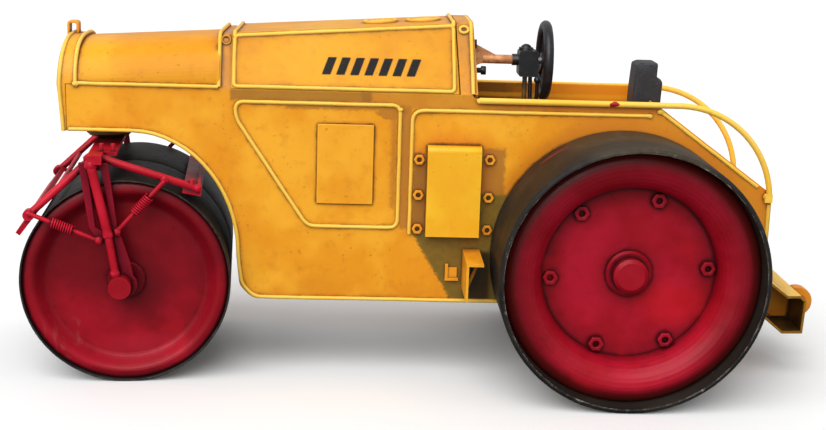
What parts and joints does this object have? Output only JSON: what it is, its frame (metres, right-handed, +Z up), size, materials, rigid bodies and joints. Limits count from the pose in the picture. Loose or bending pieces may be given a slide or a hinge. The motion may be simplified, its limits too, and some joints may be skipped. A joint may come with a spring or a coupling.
{
  "type": "toy road roller",
  "caption": "Three-wheel toy road roller in painted sheet metal with a steering fork, split front drum, dished rear wheels, open cab, handrails and a towing eye.",
  "frame": {"origin": "on the ground under the middle of the overall length and width", "axes": "+X along the length towards the rear, the nose points along -X; +Y towards the machine's right side; +Z up"},
  "size_m": [0.3374, 0.1394, 0.1456],
  "materials": {
    "yellow_enamel": "aged satin enamel over sheet metal, brown wash in the corners",
    "gold_enamel": "pale yellow enamel on soldered wire trim",
    "brown_wash": "dark brown and olive wash",
    "black_enamel": "semi-gloss black enamel",
    "black_wheel": "black, slightly glossy",
    "black_leather": "black leatherette over a pad",
    "bare_copper": "tarnished copper-brown bare metal",
    "bare_steel": "plain steel",
    "black_iron": "black painted iron hoop with pale worn edges",
    "dark_brown_enamel": "dark brown enamel",
    "red_enamel": "aged crimson enamel, darker in the recesses"
  },
  "bodies": {
    "body": {"side_panel_left": "yellow_enamel", "side_panel_right": "yellow_enamel", "front_cowl": "yellow_enamel", "radiator_grille": "brown_wash", "lifting_loop": "yellow_enamel", "front_hood": "yellow_enamel", "hood_strap": "yellow_enamel", "rear_hood": "yellow_enamel", "hood_caps": "gold_enamel", "hood_trim": "gold_enamel", "firewall": "yellow_enamel", "dash_knobs": "black_enamel", "floor_plate": "brown_wash", "arch_liner": "brown_wash", "rear_cover": "yellow_enamel", "kingpin": "brown_wash", "edge_trim_left": "gold_enamel", "edge_trim_right": "gold_enamel", "side_trim_left": "gold_enamel", "side_trim_right": "gold_enamel", "access_plate_left": "yellow_enamel", "access_plate_right": "yellow_enamel", "toolbox_left": "yellow_enamel", "toolbox_right": "yellow_enamel", "toolbox_nuts": "yellow_enamel", "step_left": "yellow_enamel", "step_right": "yellow_enamel", "handrail_left": "gold_enamel", "handrail_right": "gold_enamel", "steering_bracket": "bare_copper", "steering_gearbox": "black_enamel", "steering_post": "brown_wash", "control_levers": "black_enamel", "seat_base": "yellow_enamel", "seat": "black_leather", "drawbar": "yellow_enamel", "tow_eye": "yellow_enamel", "rear_axle": "bare_steel"},
    "fork": {"turntable": "dark_brown_enamel", "fork_crown": "red_enamel", "fork_leg_left": "red_enamel", "fork_leg_right": "red_enamel", "fork_stays": "red_enamel", "front_axle": "red_enamel", "front_scraper": "red_enamel", "rear_scraper": "red_enamel", "strut_rods": "red_enamel", "strut_springs": "red_enamel"},
    "front_drum_left": {"drum_left": "black_iron", "drum_face_left": "red_enamel"},
    "front_drum_right": {"drum_right": "black_iron", "drum_face_right": "red_enamel"},
    "rear_wheel_left": {"rear_hoop_left": "black_iron", "rear_face_left": "red_enamel", "rear_nuts_left": "red_enamel"},
    "rear_wheel_right": {"rear_hoop_right": "black_iron", "rear_face_right": "red_enamel", "rear_nuts_right": "red_enamel"},
    "steering": {"steering_wheel": "black_wheel", "steering_shaft": "bare_steel"}
  },
  "joints": [
    {"name": "fork_steer", "type": "hinge", "parent": "body", "child": "fork", "pos_m": [-0.1345, 0, 0.09], "axis": [0, 0, 1], "range_deg": [-11, 2]},
    {"name": "front_drum_left_spin", "type": "hinge", "parent": "fork", "child": "front_drum_left", "pos_m": [-0.12356, -0.0192, 0.0413], "axis": [-0.0785, 0.9969, 0], "continuous": true},
    {"name": "front_drum_right_spin", "type": "hinge", "parent": "fork", "child": "front_drum_right", "pos_m": [-0.1267, 0.0207, 0.0413], "axis": [-0.0785, 0.9969, 0], "continuous": true},
    {"name": "rear_wheel_left_spin", "type": "hinge", "parent": "body", "child": "rear_wheel_left", "pos_m": [0.076, -0.05, 0.0525], "axis": [0, 1, 0], "continuous": true},
    {"name": "rear_wheel_right_spin", "type": "hinge", "parent": "body", "child": "rear_wheel_right", "pos_m": [0.076, 0.05, 0.0525], "axis": [0, 1, 0], "continuous": true},
    {"name": "steering_wheel_spin", "type": "hinge", "parent": "body", "child": "steering", "pos_m": [0.0455, 0, 0.129], "axis": [1, 0, 0], "continuous": true}
  ]
}
